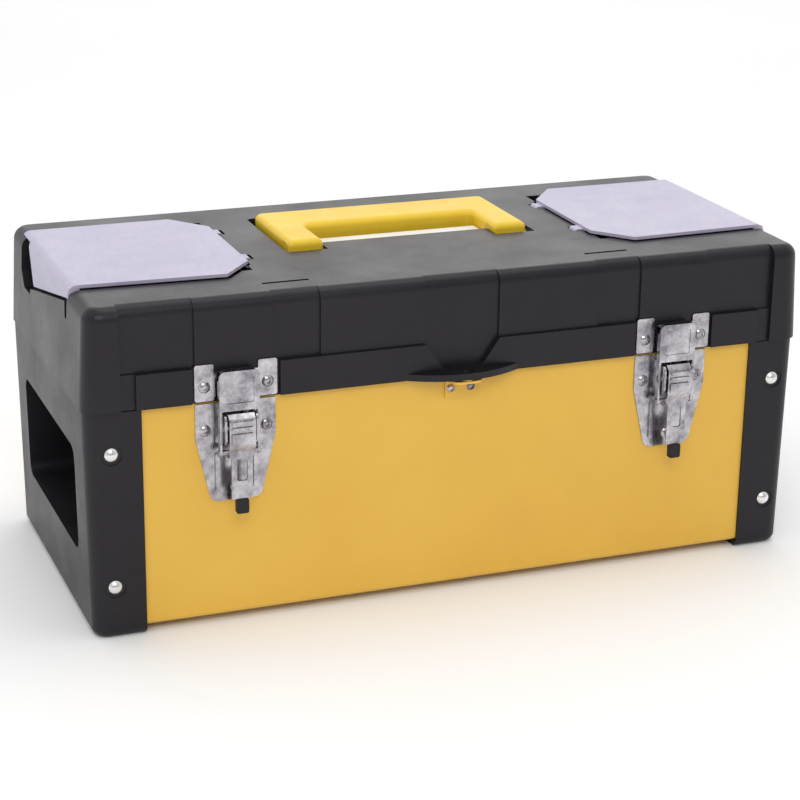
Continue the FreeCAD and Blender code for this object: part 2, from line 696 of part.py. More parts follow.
def sink_lid_top(body):
    """Shafts for the organizer inserts, handle well and the small recesses in the top face."""
    above = f"lid_top_z + {CLEAR}"
    prism(body, "XY_Plane", bin_insert("slip_gap"), "bin_floor_z - divider", above, cut=True)
    prism(body, "XY_Plane", bin_insert("slip_gap - lip_width"), "bin_ceiling_z - 1", above, cut=True)
    well = rectangle("-well_half_x", "well_shelf_back_y", "well_half_x", "well_back_y", "3")
    prism(body, "XY_Plane", well, "well_floor_z", above, cut=True)
    leg_slots = [rectangle(x_low, "well_front_y", x_high, "well_shelf_back_y + 4")
                 for x_low, x_high in mirrored("well_leg_x", "well_half_x")]
    prism(body, "XY_Plane", leg_slots, "well_floor_z", above, cut=True)
    shelf = rectangle("-well_leg_x - 1", "well_middle_front_y", "well_leg_x + 1", "well_shelf_back_y + 1")
    prism(body, "XY_Plane", shelf, "well_shelf_z", above, cut=True)
    slots = [rectangle(x_low, "-thumb_slot_y", x_high, "-thumb_slot_y + thumb_slot_width")
             for x_low, x_high in mirrored("channel_inner_x", "channel_outer_x")]
    prism(body, "XY_Plane", slots, "lid_top_z - thumb_slot_depth", above, cut=True)


def seat_cover(body, side):
    """Shallow recess under the cover and a notch in the lid's end that follows its flange."""
    above, margin = f"lid_top_z + {CLEAR}", "recess_margin"
    beyond = f"{side}*(cover_outer_x + {CLEAR})"
    recess = [
        (f"{side}*(cover_inner_x - {margin}/2)", f"cover_chamfer_front_y - {margin}/2"),
        (f"{side}*(cover_chamfer_x - {margin}/2)", f"cover_front_inner_y - {margin}"),
        (f"{side}*cover_outer_x", f"cover_front_y - {margin}"),
        (beyond, f"cover_front_y - {margin}"),
        (beyond, f"cover_back_y + {margin}"),
        (f"{side}*(cover_chamfer_x - {margin}/2)", f"cover_back_y + {margin}"),
        (f"{side}*(cover_inner_x - {margin}/2)", f"cover_chamfer_back_y + {margin}/2"),
    ]
    prism(body, "XY_Plane", recess, "lid_top_z - recess_depth", above, cut=True)
    low, high = ("notch_x", f"lid_half_x + {CLEAR}")[::side]
    sign = "" if side > 0 else "-"
    notch = [
        ("cover_front_y - notch_gap", above),
        ("cover_front_y - notch_gap", "return_low_z - notch_gap"),
        ("cover_front_y + flange_gauge + notch_gap", "return_low_z - notch_gap"),
        ("cover_front_y + flange_gauge + notch_gap*2", "flange_front_z - notch_gap*2"),
        ("flange_low_y", "flange_low_z - notch_gap"),
        ("flange_low_y + 1", "notch_slot_low_z"),
        ("notch_slot_back_y - 8", "notch_slot_low_z"),
        ("notch_slot_back_y", "notch_slot_low_z + 8"),
        ("notch_slot_back_y", above),
    ]
    slot = [
        ("flange_low_y + 1", "notch_slot_low_z"),
        ("notch_slot_back_y - 8", "notch_slot_low_z"),
        ("notch_slot_back_y", "notch_slot_low_z + 8"),
        ("notch_slot_back_y", "lid_top_z - recess_depth - 2"),
        ("flange_low_y + 1", "lid_top_z - recess_depth - 2"),
    ]
    slot_low, slot_high = ("notch_slot_x", "notch_x + 1")[::side]
    prism(body, "YZ_Plane", notch, f"{sign}({low})", f"{sign}({high})", cut=True)
    prism(body, "YZ_Plane", slot, f"{sign}({slot_low})", f"{sign}({slot_high})", cut=True)
    corner = rectangle(f"{side}*corner_notch_x", "cover_front_y - notch_gap",
                       f"{side}*(notch_x + 1)", "cover_front_y + flange_gauge + notch_gap")
    prism(body, "XY_Plane", corner, "return_low_z - notch_gap", above, cut=True)


LUG_STATIONS = ("cover_lug_front_y", "cover_lug_back_y")


def seat_cover_hinge(body, side):
    """Slots for the cover's lugs and a bore for its hinge pin."""
    low_x, high_x = "cover_pin_x - cover_lug_r - lug_slot_gap*1.7", "bin_inner_x + 1"
    slots = []
    for station in LUG_STATIONS:
        reach = "(cover_lug_half_y + lug_slot_gap)"
        slots.append(rectangle(f"{side}*({low_x})", f"{station} - {reach}",
                               f"{side}*({high_x})", f"{station} + {reach}"))
    slot_floor = "cover_pin_z - cover_lug_r - lug_slot_gap"
    prism(body, "XY_Plane", slots, slot_floor, f"lid_top_z + {CLEAR}", cut=True)
    sign = "" if side > 0 else "-"
    discs(body, "XZ_Plane", [(f"{sign}cover_pin_x", "cover_pin_z")], "cover_pin_r",
          *cover_pin_span(), cut=True)


def cover_pin_span():
    """Offsets of the cover pin's ends on the XZ plane, whose normal is -Y."""
    return "-(cover_lug_back_y + cover_lug_half_y + 5)", "-(cover_lug_front_y - cover_lug_half_y - 5)"


def make_lid():
    body = new_body("lid_shell")
    outline = [
        ("-lid_half_x", "lid_low_z"),
        ("lid_half_x", "lid_low_z"),
        ("lid_top_half_x", "lid_top_z"),
        ("-lid_top_half_x", "lid_top_z"),
    ]
    prism(body, "XZ_Plane", outline, "-lid_back_y", "band_y")
    fillet(body, "lid_corner_r", lambda edge: along(edge, Z_AXIS))
    top = value("lid_top_z")
    fillet(body, "shoulder_r", lambda edge: edge.BoundBox.ZMin > top - 1e-6)
    shape_lid_front(body)
    sink_lid_top(body)
    hollow_lid(body)
    for _, side in SIDES:
        seat_cover(body, side)
        seat_cover_hinge(body, side)
    # blind bores in the sides of the well hold the handle's pivot pins
    handle_pivot = [("handle_pivot_y", "handle_pivot_z")]
    for x_low, x_high in mirrored("well_half_x - 1", "handle_pin_outer_x"):
        discs(body, "YZ_Plane", handle_pivot, "handle_pin_r", x_low, x_high, cut=True)
    # ledge: a circular segment in plan, as deep as its reach at the middle
    drawing = new_sketch(body, "XY_Plane", "lid_low_z")
    half, reach, root = value("ledge_half_x"), value("ledge_reach"), -value("relief_y")
    right_end, left_end = FreeCAD.Vector(half, root, 0), FreeCAD.Vector(-half, root, 0)
    chord = drawing.addGeometry(Part.LineSegment(right_end, left_end))
    arc = drawing.addGeometry(Part.Arc(left_end, FreeCAD.Vector(0, root - reach, 0), right_end))
    drawing.addConstraint(Sketcher.Constraint("Coincident", chord, 2, arc, 1))
    drawing.addConstraint(Sketcher.Constraint("Coincident", chord, 1, arc, 2))
    pin_down(drawing, chord, 1, "ledge_half_x", "-relief_y")
    pin_down(drawing, chord, 2, "-ledge_half_x", "-relief_y")
    bow_radius = "(ledge_half_x^2 + ledge_reach^2)/(2*ledge_reach)"
    index = drawing.addConstraint(Sketcher.Constraint("Radius", arc, value(bow_radius)))
    drawing.setExpression(f"Constraints[{index}]", bound(bow_radius))
    feature(body, drawing, "lid_low_z", "ledge_top_z", cut=False)
    discs(body, "XY_Plane", [("0", "-padlock_y")], "padlock_r", "lid_low_z", "ledge_top_z", cut=True)
    keeper_holes = [(f"{side}*latch_x + {step}*keeper_rivet_x", "keeper_rivet_z")
                    for _, side in SIDES for step in (-1, 1)]
    discs(body, "XZ_Plane", keeper_holes, "small_shank_r", "lid_wall_y", "panel_y", cut=True)
    hinge_holes = [(f"{side}*hinge_x + {step}*hinge_rivet_x", "hinge_lid_rivet_z")
                   for _, side in SIDES for step in (-1, 1)]
    discs(body, "XZ_Plane", hinge_holes, "small_shank_r", "-lid_back_y", "-lid_back_wall_y", cut=True)


def make_organizer_bin(name, side):
    """Insert with four cells that hangs in the lid's shaft."""
    body = new_body(f"organizer_bin_{name}")
    plan = bin_insert("0")[max(side, 0)]
    prism(body, "XY_Plane", plan, "bin_floor_z - divider", "divider_top_z")
    columns = [("bin_inner_x", "bin_middle_x - divider/2"), ("bin_middle_x + divider/2", "bin_outer_x")]
    rows = [("bin_front_y", "bin_middle_y - divider/2"), ("bin_middle_y + divider/2", "bin_back_y")]
    cells = []
    for x_low, x_high in columns:
        x_one, x_two = mirrored(x_low, x_high)[max(side, 0)]
        cells += [rectangle(x_one, y_low, x_two, y_high, "3") for y_low, y_high in rows]
    prism(body, "XY_Plane", cells, "bin_floor_z", "divider_top_z", cut=True)


def make_cover(name, side):
    """Clear organizer cover: a plate with a flange over the lid's end and two hinge lugs."""
    body = new_body(f"organizer_cover_{name}")
    top, inner_bend = "cover_low_z + cover_gauge", "cover_edge_r - flange_gauge"
    section = [
        (f"{side}*cover_inner_x", "cover_low_z"),
        (f"{side}*cover_inner_x", top),
        (f"{side}*cover_outer_x", top, "cover_edge_r"),
        (f"{side}*cover_outer_x", "flange_low_z"),
        (f"{side}*(cover_outer_x - flange_gauge)", "flange_low_z"),
        (f"{side}*(cover_outer_x - flange_gauge)", "cover_low_z", inner_bend),
    ]
    prism(body, "XZ_Plane", section, "-cover_back_y", "-cover_front_inner_y")
    beyond = f"{side}*(cover_outer_x + {CLEAR})"
    front_edge = [
        (f"{side}*(cover_inner_x - {CLEAR})", f"cover_front_inner_y - {CLEAR}"),
        (beyond, f"cover_front_inner_y - {CLEAR}"),
        (beyond, "cover_front_y"),
        (f"{side}*cover_outer_x", "cover_front_y"),
        (f"{side}*cover_chamfer_x", "cover_front_inner_y"),
        (f"{side}*cover_inner_x", "cover_chamfer_front_y"),
        (f"{side}*(cover_inner_x - {CLEAR})", "cover_chamfer_front_y"),
    ]
    back_corner = [
        (f"{side}*(cover_inner_x - 1)", "cover_chamfer_back_y"),
        (f"{side}*cover_inner_x", "cover_chamfer_back_y"),
        (f"{side}*cover_chamfer_x", "cover_back_y"),
        (f"{side}*(cover_inner_x - 1)", "cover_back_y + 1"),
    ]
    prism(body, "XY_Plane", [front_edge, back_corner], "flange_low_z", top, cut=True)
    inner, outer = ("cover_outer_x - cover_edge_r", "cover_outer_x")[::side]
    sign = "" if side > 0 else "-"
    under_flange = [
        (f"cover_front_inner_y - {CLEAR}", "flange_front_z"),
        ("cover_front_y", "flange_front_z"),
        ("flange_low_y", "flange_low_z + 0.02", "2"),
        ("flange_back_y", "cover_low_z - 0.4"),
        ("flange_back_y + 1", "cover_low_z"),
        (f"cover_back_y + {CLEAR}", "cover_low_z"),
        (f"cover_back_y + {CLEAR}", f"flange_low_z - {CLEAR}"),
        (f"cover_front_inner_y - {CLEAR}", f"flange_low_z - {CLEAR}"),
    ]
    prism(body, "YZ_Plane", under_flange, f"{sign}({inner})", f"{sign}({outer})", cut=True)
    bend_z = "cover_low_z + cover_gauge - cover_edge_r"
    turned_in = rectangle(f"{side}*return_inner_x", "return_low_z", f"{side}*cover_outer_x", bend_z)
    prism(body, "XZ_Plane", turned_in, "-cover_front_y - flange_gauge", "-cover_front_y")
    bracket = rectangle(f"{side}*return_inner_x", f"{bend_z} - 0.1",
                        f"{side}*(cover_outer_x - flange_gauge/2)", "cover_low_z + 0.5")
    prism(body, "XZ_Plane", bracket, "-cover_front_y - flange_gauge", "-cover_front_y")
    arm = [
        (f"{side}*(cover_pin_x - cover_lug_r/2)", "cover_pin_z + cover_lug_r*0.86"),
        (f"{side}*(cover_inner_x + 0.5)", "cover_low_z + cover_gauge/3"),
        (f"{side}*(cover_inner_x + 2.4)", "cover_low_z + cover_gauge/3"),
        (f"{side}*(cover_inner_x + 2.4)", "cover_low_z"),
        (f"{side}*(cover_pin_x + cover_lug_r*0.7)", "cover_pin_z - cover_lug_r*0.7"),
        (f"{side}*cover_pin_x", "cover_pin_z"),
    ]
    for station in LUG_STATIONS:
        low, high = f"-({station} + cover_lug_half_y)", f"-({station} - cover_lug_half_y)"
        prism(body, "XZ_Plane", arm, low, high)
        discs(body, "XZ_Plane", [(f"{side}*cover_pin_x", "cover_pin_z")], "cover_lug_r", low, high)
        discs(body, "XZ_Plane", [(f"{side}*cover_pin_x", "cover_pin_z")], "cover_pin_r + running_gap",
              low, high, cut=True)
    low, high = cover_pin_span()
    rod(f"cover_pin_{name}", "cover_pin_r", f"({high}) - ({low})", f"{side}*cover_pin_x", f"-({low})",
        "cover_pin_z", -Y_AXIS)


def make_handle():
    """U-shaped carrying handle whose legs pivot near the front of its well."""
    body = new_body("lid_handle")
    plan = [
        ("-handle_half_x", "handle_front_y", "2"),
        ("-handle_leg_x", "handle_front_y", "2"),
        ("-handle_leg_x", "grip_front_y", "4"),
        ("handle_leg_x", "grip_front_y", "4"),
        ("handle_leg_x", "handle_front_y", "2"),
        ("handle_half_x", "handle_front_y", "2"),
        ("handle_half_x", "handle_back_y", "5"),
        ("-handle_half_x", "handle_back_y", "5"),
    ]
    prism(body, "XY_Plane", plan, "handle_low_z", "handle_top_z")
    top = value("handle_top_z")
    fillet(body, "handle_edge_r", lambda edge: edge.BoundBox.ZMin > top - 1e-6)
    pivot = [("handle_pivot_y", "handle_pivot_z")]
    for x_low, x_high in mirrored("handle_leg_x", "handle_half_x"):
        discs(body, "YZ_Plane", pivot, "handle_heel_r", x_low, x_high)
    # below the pivot the heel stays inside its turning circle
    toe = rectangle(f"handle_front_y - {CLEAR}", f"handle_low_z - {CLEAR}", "handle_pivot_y - handle_heel_r",
                    "handle_pivot_z")
    prism(body, "YZ_Plane", toe, "-handle_half_x", "handle_half_x", cut=True)
    heel = [
        ("handle_pivot_y - handle_heel_r", "handle_pivot_z"),
        ("handle_pivot_y - handle_heel_r", f"handle_low_z - {CLEAR}"),
        ("handle_pivot_y", f"handle_low_z - {CLEAR}"),
        ("handle_pivot_y - handle_heel_r*0.7071", "handle_pivot_z - handle_heel_r*0.7071"),
    ]
    prism(body, "YZ_Plane", heel, "-handle_half_x", "handle_half_x", cut=True)
    hole_low, hole_high = "handle_pin_inner_x", "handle_half_x"
    for x_low, x_high in mirrored(hole_low, hole_high):
        discs(body, "YZ_Plane", pivot, "handle_pin_r + running_gap", x_low, x_high, cut=True)
    for name, side in SIDES:
        start = "handle_pin_inner_x + 0.5" if side > 0 else "-handle_pin_outer_x"
        rod(f"handle_pin_{name}", "handle_pin_r", "handle_pin_outer_x - handle_pin_inner_x - 0.5", start,
            "handle_pivot_y", "handle_pivot_z")


def make_well_strip():
    body = new_body("handle_well_strip")
    plan = rectangle("-strip_half_x", "strip_front_y", "strip_half_x", "strip_back_y", "1.5")
    prism(body, "XY_Plane", plan, "well_shelf_z", "well_shelf_z + strip_gauge")


# ---------------------------------------------------------------- draw latches

def out(offset):
    """Y of a point that stands the offset in front of the steel."""
    return f"-(sheet_y + ({offset}))"


def make_latch_base(name, side):
    body = new_body(f"latch_base_{name}")
    shield = [
        ("-base_half_x", "base_top_z"),
        ("-base_half_x", "base_waist_z", "base_corner_r*3"),
        ("-base_foot_half_x", "base_low_z", "base_corner_r*1.6"),
        ("base_foot_half_x", "base_low_z", "base_corner_r*1.6"),
        ("base_half_x", "base_waist_z", "base_corner_r*3"),
        ("base_half_x", "base_top_z"),
    ]
    prism(body, "XZ_Plane", shield, "sheet_y", "sheet_y + latch_gauge")
    cheek = [
        (out("latch_gauge/2"), "cheek_low_z"),
        (out("cheek_reach - 2"), "cheek_low_z", "2"),
        (out("cheek_reach"), "cheek_low_z + 3", "2"),
        (out("cheek_reach"), "cheek_top_z - 1", "3"),
        (out("latch_gauge/2"), "cheek_top_z"),
    ]
    for x_low, x_high in mirrored("cheek_inner_x", "cheek_inner_x + cheek_gauge"):
        prism(body, "YZ_Plane", cheek, x_low, x_high)
    ribs = [rectangle(x_low, "base_low_z + 5", x_high, "base_waist_z - 8", "1")
            for x_low, x_high in mirrored("rib_inner_x - 2", "rib_outer_x - 2")]
    prism(body, "XZ_Plane", ribs, "sheet_y + latch_gauge/2", "sheet_y + latch_gauge*2.2")
    holes = [("-base_rivet_x", "base_rivet_z"), ("base_rivet_x", "base_rivet_z"), ("0", "base_foot_rivet_z")]
    discs(body, "XZ_Plane", holes, "small_shank_r", "sheet_y", "sheet_y + latch_gauge", cut=True)
    reach = "cheek_inner_x + cheek_gauge"
    pivot = [(out("lever_pivot_out"), "lever_pivot_z")]
    discs(body, "YZ_Plane", pivot, "pin_r", f"-({reach})", reach, cut=True)
    slide_along_x(body, f"{side}*latch_x")
    seats = [(x, out("latch_gauge"), z) for x, z in holes]
    rivets(f"latch_base_rivets_{name}", seats, -Y_AXIS, "latch_gauge + sheet_gauge", slide=f"{side}*latch_x")
    rod(f"latch_lever_pin_{name}", "pin_r", "2*(cheek_inner_x + cheek_gauge + 0.3)",
        f"{side}*latch_x - (cheek_inner_x + cheek_gauge + 0.3)", out("lever_pivot_out"), "lever_pivot_z")


def make_latch_lever(name, side):
    """Stamped channel: a stepped face, a tongue with a moulded grip on its tip, and two ears."""
    body = new_body(f"latch_lever_{name}")
    face, tongue, gauge = "lever_face_out", "tongue_face_out", "lever_gauge"
    profile = [
        (out(f"{face} - 3"), "lever_pivot_z + 7.8"),
        (out(face), "lever_pivot_z + 5.2", "2"),
        (out(face), "lever_pivot_z - 8.5", "1.6"),
        (out(tongue), "lever_pivot_z - 12.5", "1.6"),
        (out(tongue), "lever_tip_z"),
        (out(f"{tongue} - {gauge}"), "lever_tip_z"),
        (out(f"{tongue} - {gauge}"), "lever_pivot_z - 12", "1.2"),
        (out(f"{face} - {gauge}"), "lever_pivot_z - 8", "1.2"),
        (out(f"{face} - {gauge}"), "lever_pivot_z + 4.6", "1"),
        (out(f"{face} - 3.8"), "lever_pivot_z + 6.9"),
    ]
    prism(body, "YZ_Plane", profile, "-lever_half_x", "lever_half_x")
    neck_low, neck_high = "lever_pivot_z - 15.5", "lever_pivot_z - 11"
    for x_sign in (-1, 1):
        trim = [
            (f"{x_sign}*(lever_half_x + 1)", f"lever_tip_z - {CLEAR}"),
            (f"{x_sign}*tang_half_x", f"lever_tip_z - {CLEAR}"),
            (f"{x_sign}*tang_half_x", "lever_tip_z + finger_grip_length"),
            (f"{x_sign}*tongue_half_x", "lever_tip_z + finger_grip_length"),
            (f"{x_sign}*tongue_half_x", neck_low),
            (f"{x_sign}*(lever_half_x + 1)", neck_high),
        ]
        prism(body, "XZ_Plane", trim, "sheet_y", f"sheet_y + {CLEAR}", cut=True)
    ear = [
        (out(f"{face} - {gauge}/2"), "lever_pivot_z + 5"),
        (out(f"{face} - {gauge}/2"), "lever_pivot_z - 8.6"),
        (out(f"{tongue} - {gauge}/2"), "lever_pivot_z - 12.8"),
        (out("link_pivot_out + 1.8"), "link_pivot_z - 2.7", "2"),
        (out("link_pivot_out - 2.6"), "link_pivot_z - 2.5", "2"),
        (out("link_pivot_out - 2.6"), "link_pivot_z + 3", "2"),
        (out("lever_pivot_out - 2.8"), "lever_pivot_z - 2", "2"),
        (out("lever_pivot_out - 2.6"), "lever_pivot_z + 3.5", "2"),
        (out("lever_pivot_out - 0.4"), "lever_pivot_z + 5.6"),
    ]
    for x_low, x_high in mirrored("ear_inner_x", "ear_inner_x + lever_gauge"):
        prism(body, "YZ_Plane", ear, x_low, x_high)
    # two pressed ribs and a square pad across the face, and a slot in the tongue
    for rise, half_height in ((3.6, 0.9), (0.4, 0.9), (-5.0, 2.9)):
        rib = rectangle("-lever_half_x + 1.2", f"lever_pivot_z + {rise} - {half_height}",
                        "lever_half_x - 1.2", f"lever_pivot_z + {rise} + {half_height}", "0.7")
        prism(body, "XZ_Plane", rib, f"sheet_y + {face} - 0.4", f"sheet_y + {face} + 1")
    slot = rectangle("-tongue_half_x/2", "lever_tip_z + 17", "tongue_half_x/2", "lever_tip_z + 29", "1.2")
    prism(body, "XZ_Plane", slot, "sheet_y", f"sheet_y + {CLEAR}", cut=True)
    reach = "ear_inner_x + lever_gauge"
    for out_text, z_text, radius in (("lever_pivot_out", "lever_pivot_z", "pin_r + running_gap"),
                                     ("link_pivot_out", "link_pivot_z", "pin_r")):
        discs(body, "YZ_Plane", [(out(out_text), z_text)], radius, f"-({reach})", reach, cut=True)
    slide_along_x(body, f"{side}*latch_x")
    rod(f"latch_link_pin_{name}", "pin_r", "2*(link_half_x + 0.8)", f"{side}*latch_x - link_half_x - 0.8",
        out("link_pivot_out"), "link_pivot_z")


def make_finger_grip(name, side):
    """Moulded grip pushed over the tang at the lever's tip."""
    body = new_body(f"latch_grip_{name}")
    inner, outer = "(tongue_face_out - lever_gauge)", "tongue_face_out"
    block = rectangle("-finger_grip_half_x", "lever_tip_z - finger_grip_wall", "finger_grip_half_x",
                      "lever_tip_z + finger_grip_length - slip_gap", "1.2")
    front = f"sheet_y + {outer} + finger_grip_wall"
    prism(body, "XZ_Plane", block, f"sheet_y + {inner} - finger_grip_wall", front)
    fillet(body, "0.5", lambda edge: abs(middle_of(edge).y) > value(front) - 1e-6)
    tang = rectangle("-(tang_half_x + running_gap)", out(f"{outer} + running_gap"),
                     "tang_half_x + running_gap", out(f"{inner} - running_gap"))
    prism(body, "XY_Plane", tang, "lever_tip_z - running_gap", "lever_tip_z + finger_grip_length", cut=True)
    slide_along_x(body, f"{side}*latch_x")


def make_latch_link(name, side):
    """Hook plate with an inturned lip and two arms down to the lever."""
    body = new_body(f"latch_link_{name}")
    plate = [
        ("-link_half_x", "hook_low_z"),
        ("link_half_x", "hook_low_z"),
        ("link_half_x", "hook_top_z", "3"),
        ("-link_half_x", "hook_top_z", "3"),
    ]
    prism(body, "XZ_Plane", plate, "sheet_y + link_face_out - link_gauge", "sheet_y + link_face_out")
    window = rectangle("-link_half_x + 3", "hook_low_z + 4", "link_half_x - 3", "hook_top_z - 3.4", "1")
    face = "sheet_y + link_face_out"
    prism(body, "XZ_Plane", window, f"{face} - link_gauge/2", face, cut=True)
    lip = rectangle("-link_half_x + 2.2", "hook_top_z - latch_gauge", "link_half_x - 2.2", "hook_top_z")
    prism(body, "XZ_Plane", lip, "sheet_y + hook_tip_out", "sheet_y + link_face_out")
    arm = [
        (out("link_pivot_out - link_arm_r"), "link_pivot_z - link_arm_r*1.1", "link_arm_r*0.9"),
        (out("link_face_out"), "link_pivot_z - link_arm_r*1.1", "link_arm_r*0.9"),
        (out("link_face_out"), "hook_top_z - 3.2"),
        (out("link_pivot_out - link_arm_r"), "hook_top_z - 6", "1.5"),
    ]
    for x_low, x_high in mirrored("link_half_x - link_gauge", "link_half_x"):
        prism(body, "YZ_Plane", arm, x_low, x_high)
    discs(body, "YZ_Plane", [(out("link_pivot_out"), "link_pivot_z")], "pin_r + running_gap",
          "-link_half_x", "link_half_x", cut=True)
    slide_along_x(body, f"{side}*latch_x")


def make_keeper(name, side):
    """Plate riveted to the lid with two ears and a ledge for the hook."""
    body = new_body(f"latch_keeper_{name}")
    face = "panel_y + latch_gauge"
    ears = [rectangle(x_low, "keeper_low_z", x_high, "keeper_top_z", "1.2")
            for x_low, x_high in mirrored("keeper_ear_x", "keeper_half_x")]
    bridge = rectangle("-keeper_ear_x - 2", "keeper_bridge_low_z", "keeper_ear_x + 2", "keeper_ledge_top_z")
    prism(body, "XZ_Plane", bridge, "panel_y", face)
    for ear in ears:
        prism(body, "XZ_Plane", ear, "panel_y", face)
    ledge = rectangle("-keeper_ledge_half_x", "keeper_ledge_top_z - latch_gauge", "keeper_ledge_half_x",
                      "keeper_ledge_top_z")
    prism(body, "XZ_Plane", ledge, "panel_y", "sheet_y + keeper_ledge_out")
    holes = [("-keeper_rivet_x", "keeper_rivet_z"), ("keeper_rivet_x", "keeper_rivet_z")]
    discs(body, "XZ_Plane", holes, "small_shank_r", "panel_y", face, cut=True)
    slide_along_x(body, f"{side}*latch_x")
    seats = [(x, f"-({face})", z) for x, z in holes]
    rivets(f"latch_keeper_rivets_{name}", seats, -Y_AXIS, f"{face} - lid_wall_y", slide=f"{side}*latch_x")


# ---------------------------------------------------------------- back hinges

def make_hinge(name, side):
    axis = [("hinge_y", "hinge_z")]
    # leaf on the steel: joggled outward under the knuckles
    leaf = new_body(f"hinge_body_leaf_{name}")
    low_plate = rectangle("-hinge_half_x", "hinge_low_z", "hinge_half_x", "hinge_z - 6", "2")
    prism(leaf, "XZ_Plane", low_plate, "-(sheet_y + hinge_gauge)", "-sheet_y")
    joggle = [
        ("sheet_y", "hinge_z - 9"),
        ("sheet_y + hinge_gauge", "hinge_z - 9"),
        ("sheet_y + hinge_gauge", "hinge_z - 6.2"),
        ("hinge_y + 0.4", "hinge_z - knuckle_r + 0.4"),
        ("hinge_y - 1.9", "hinge_z - 1.4"),
        ("sheet_y", "hinge_z - 4.8"),
    ]
    for x_low, x_high in mirrored("body_knuckle_x", "hinge_half_x"):
        prism(leaf, "YZ_Plane", joggle, x_low, x_high)
        discs(leaf, "YZ_Plane", axis, "knuckle_r", x_low, x_high)
        discs(leaf, "YZ_Plane", axis, "hinge_pin_r", x_low, x_high, cut=True)
    holes = [("-hinge_rivet_x", "hinge_body_rivet_z"), ("hinge_rivet_x", "hinge_body_rivet_z")]
    discs(leaf, "XZ_Plane", holes, "small_shank_r", "-(sheet_y + hinge_gauge)", "-sheet_y", cut=True)
    slide_along_x(leaf, f"{side}*hinge_x")
    seats = [(x, "sheet_y + hinge_gauge", z) for x, z in holes]
    rivets(f"hinge_body_rivets_{name}", seats, Y_AXIS, "hinge_gauge + sheet_gauge", slide=f"{side}*hinge_x")
    # leaf on the lid
    leaf = new_body(f"hinge_lid_leaf_{name}")
    plate = rectangle("-hinge_half_x", "hinge_z + 3.4", "hinge_half_x", "hinge_top_z", "2")
    prism(leaf, "XZ_Plane", plate, "-(lid_back_y + hinge_gauge)", "-lid_back_y")
    strap = rectangle("lid_back_y", "hinge_z", "lid_back_y + hinge_gauge", "hinge_z + 7")
    prism(leaf, "YZ_Plane", strap, "-lid_knuckle_x", "lid_knuckle_x")
    discs(leaf, "YZ_Plane", axis, "knuckle_r", "-lid_knuckle_x", "lid_knuckle_x")
    discs(leaf, "YZ_Plane", axis, "hinge_pin_r + running_gap", "-lid_knuckle_x", "lid_knuckle_x", cut=True)
    holes = [("-hinge_rivet_x", "hinge_lid_rivet_z"), ("hinge_rivet_x", "hinge_lid_rivet_z")]
    discs(leaf, "XZ_Plane", holes, "small_shank_r", "-(lid_back_y + hinge_gauge)", "-lid_back_y", cut=True)
    slide_along_x(leaf, f"{side}*hinge_x")
    seats = [(x, "lid_back_y + hinge_gauge", z) for x, z in holes]
    rivets(f"hinge_lid_rivets_{name}", seats, Y_AXIS, "lid_back_y + hinge_gauge - lid_back_wall_y",
           slide=f"{side}*hinge_x")
    rod(f"hinge_pin_{name}", "hinge_pin_r", "2*hinge_half_x + 1", f"{side}*hinge_x - hinge_half_x - 0.5",
        "hinge_y", "hinge_z")


# ---------------------------------------------------------------- tray

def make_tray():
    """Tray with a deep middle, shallow ends that rest on the caps, and a moulded grip."""
    body = new_body("tray")
    tub = rectangle("-tray_tub_half_x", "-tray_half_y", "tray_tub_half_x", "tray_half_y", "tray_corner_r")
    prism(body, "XY_Plane", tub, "tray_low_z", "tray_top_z")
    upper = rectangle("-tray_half_x", "-tray_half_y", "tray_half_x", "tray_half_y", "tray_corner_r")
    prism(body, "XY_Plane", upper, "tray_shoulder_z", "tray_top_z")
    spine = "tray_wall/2"
    inner_x, inner_y = "(tray_tub_half_x - tray_wall)", "(tray_half_y - tray_wall)"
    cross = "(tray_cross_x - tray_wall/2)"
    cells = [
        rectangle(f"-{inner_x}", f"-{inner_y}", f"-({cross} + tray_wall)", f"-{spine}", "3"),
        rectangle(f"-{cross}", f"-{inner_y}", cross, f"-{spine}", "3"),
        rectangle(f"{cross} + tray_wall", f"-{inner_y}", inner_x, f"-{spine}", "3"),
        rectangle(f"-{inner_x}", spine, cross, inner_y, "3"),
        rectangle(f"{cross} + tray_wall", spine, inner_x, inner_y, "3"),
    ]
    prism(body, "XY_Plane", cells, "tray_low_z + tray_wall", "tray_top_z", cut=True)
    ends = [rectangle(x_low, f"-{inner_y}", x_high, inner_y, "3")
            for x_low, x_high in mirrored("tray_tub_half_x", "tray_half_x - tray_wall")]
    prism(body, "XY_Plane", ends, "tray_shoulder_z + tray_wall", "tray_top_z", cut=True)
    # the spine drops between the grip's legs to leave room for fingers
    notch = rectangle("-tray_slot_half_x", "tray_slot_low_z", "tray_slot_half_x", f"tray_top_z + {CLEAR}")
    prism(body, "XZ_Plane", notch, f"-{spine}", spine, cut=True)
    holes = [("-tray_leg_rivet_x", "tray_leg_rivet_z"), ("tray_leg_rivet_x", "tray_leg_rivet_z")]
    discs(body, "XZ_Plane", holes, "small_shank_r", f"-{spine}", spine, cut=True)
    make_tray_grip(holes)


